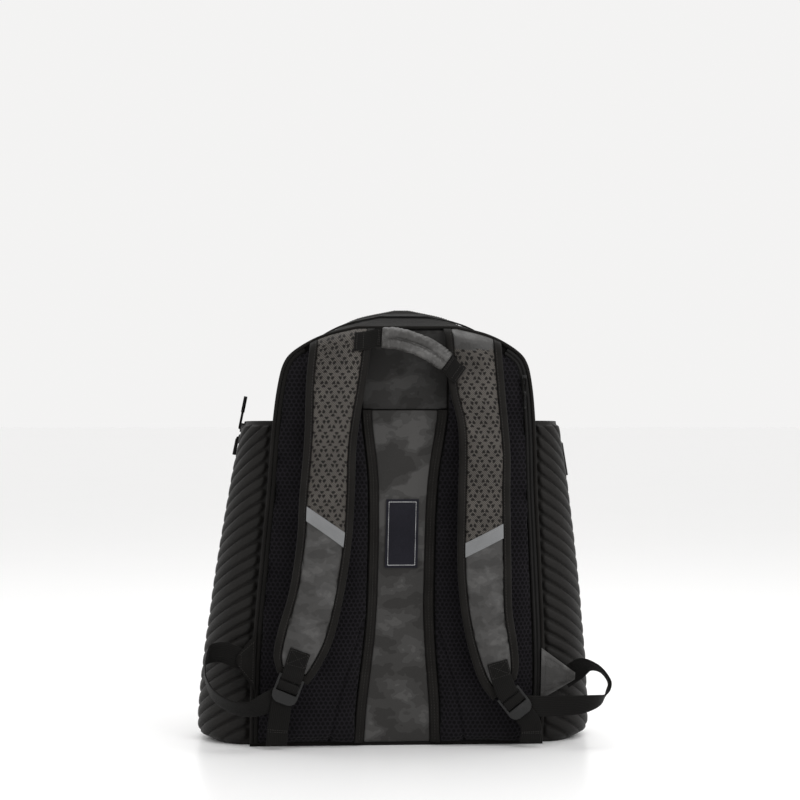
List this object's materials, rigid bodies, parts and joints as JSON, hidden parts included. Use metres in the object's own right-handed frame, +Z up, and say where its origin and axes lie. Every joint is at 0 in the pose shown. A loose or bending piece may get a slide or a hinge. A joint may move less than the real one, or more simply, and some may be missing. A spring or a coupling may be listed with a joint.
{
  "type": "baseball bat backpack",
  "caption": "Upright backpack with padded back, shoulder straps and an open ribbed bat sleeve on each side, standing on its flat base.",
  "frame": {"origin": "on the floor, under the middle of the bag's box", "axes": "+Z up; the shoulder straps and padded back face -Y and the outer front faces +Y; left is -X, as seen from the strap side"},
  "size_m": [0.4932, 0.242, 0.524],
  "materials": {
    "body_cloth": "matt woven polyester, near black",
    "ribbed_roll": "finely ribbed corded roll, dark grey",
    "binding": "matt black binding tape",
    "zip_tape": "coated black zip tape with a fine coil",
    "camouflage_cloth": "coated cloth in three dark greys, slight sheen",
    "woven_patch": "fine woven label, bare dark ground, thin pale border",
    "air_mesh": "honeycomb spacer mesh, near black",
    "moulded_ribs": "moulded cloth ribs, near black, soft satin",
    "strap_cloth": "printed grey-brown cloth above, coated grey cloth below",
    "reflective_strip": "silver grey reflective tape",
    "webbing": "ribbed black webbing",
    "hard_plastic": "moulded black plastic, satin"
  },
  "bodies": {
    "root": {"adjuster_left": "webbing", "adjuster_right": "webbing", "back_board": "body_cloth", "back_pad_left": "air_mesh", "back_pad_right": "air_mesh", "back_piping": "binding", "back_zip_pull": "hard_plastic", "base_panel": "body_cloth", "bat_sleeve_left": "moulded_ribs", "bat_sleeve_right": "moulded_ribs", "channel_panel": "camouflage_cloth", "channel_tape_left": "binding", "channel_tape_right": "binding", "edge_strip_left": "binding", "edge_strip_right": "binding", "front_shell": "body_cloth", "front_welt": "ribbed_roll", "grab_handle": "camouflage_cloth", "handle_tab_left": "webbing", "handle_tab_right": "webbing", "ladder_lock_left": "hard_plastic", "ladder_lock_right": "hard_plastic", "main_zip": "zip_tape", "main_zip_pull": "hard_plastic", "patch": "woven_patch", "reflector_left": "reflective_strip", "reflector_right": "reflective_strip", "side_gusset": "body_cloth", "side_tab_left": "camouflage_cloth", "side_tab_right": "camouflage_cloth", "sleeve_pull_left_lower": "hard_plastic", "sleeve_pull_left_upper": "hard_plastic", "sleeve_pull_right": "hard_plastic", "sleeve_zip_left": "zip_tape", "sleeve_zip_right": "zip_tape", "strap_anchor_left": "webbing", "strap_anchor_right": "webbing", "strap_edge_left": "binding", "strap_edge_right": "binding", "strap_left": "strap_cloth", "strap_right": "strap_cloth", "yoke_panel": "camouflage_cloth"}
  },
  "joints": []
}
